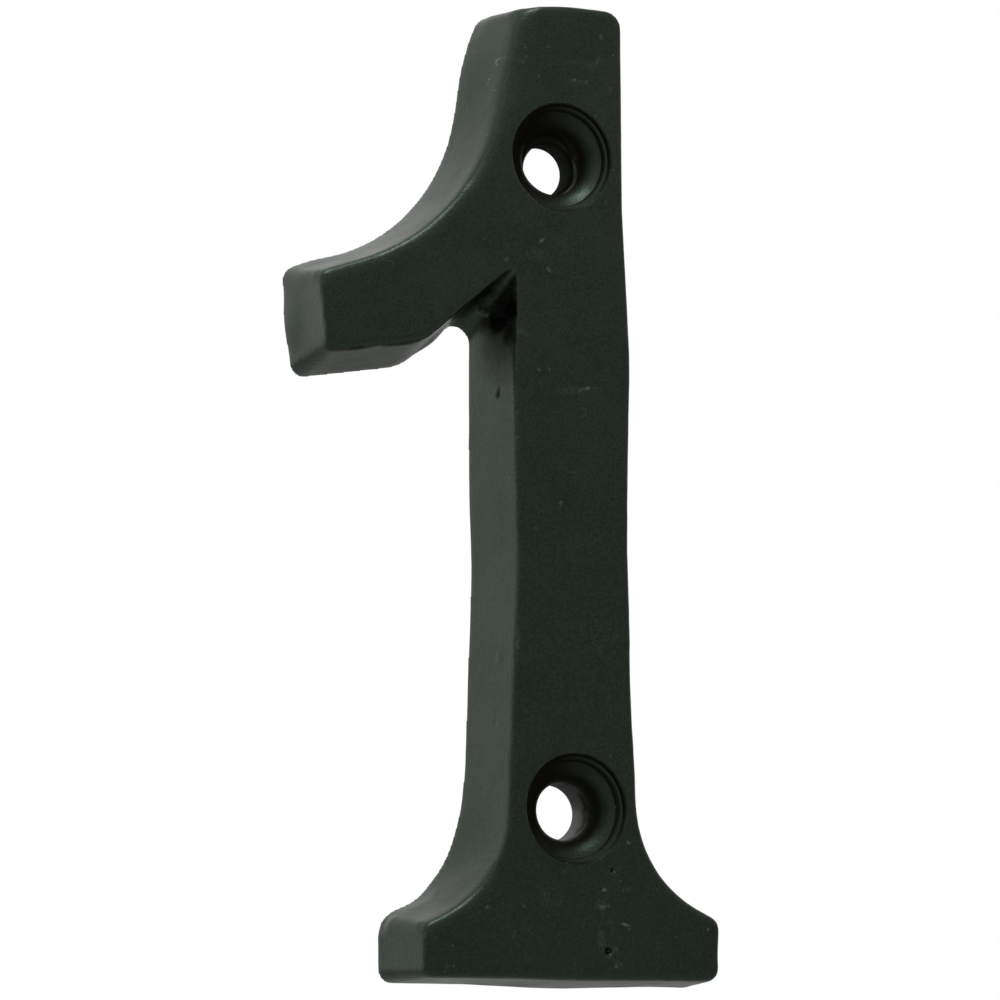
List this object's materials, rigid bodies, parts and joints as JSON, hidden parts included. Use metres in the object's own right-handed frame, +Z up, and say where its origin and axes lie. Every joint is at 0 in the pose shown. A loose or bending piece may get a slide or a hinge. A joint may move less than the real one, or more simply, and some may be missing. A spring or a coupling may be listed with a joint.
{
  "type": "house numeral",
  "caption": "Cast-iron figure one for a house or door: slab-serif numeral with drafted sides, a flat back and countersunk holes for wood screws.",
  "frame": {"origin": "on the flat back, on the stem's axis, midway in height between the two countersinks", "axes": "+Z up the figure, +X to the reader's right, -Y out of the face; the back lies on Y = 0, against the wall"},
  "size_m": [0.0351, 0.0062, 0.0759],
  "materials": {
    "black_casting": "satin black paint over a cast surface"
  },
  "bodies": {
    "root": {"house_number_one": "black_casting"}
  },
  "joints": []
}
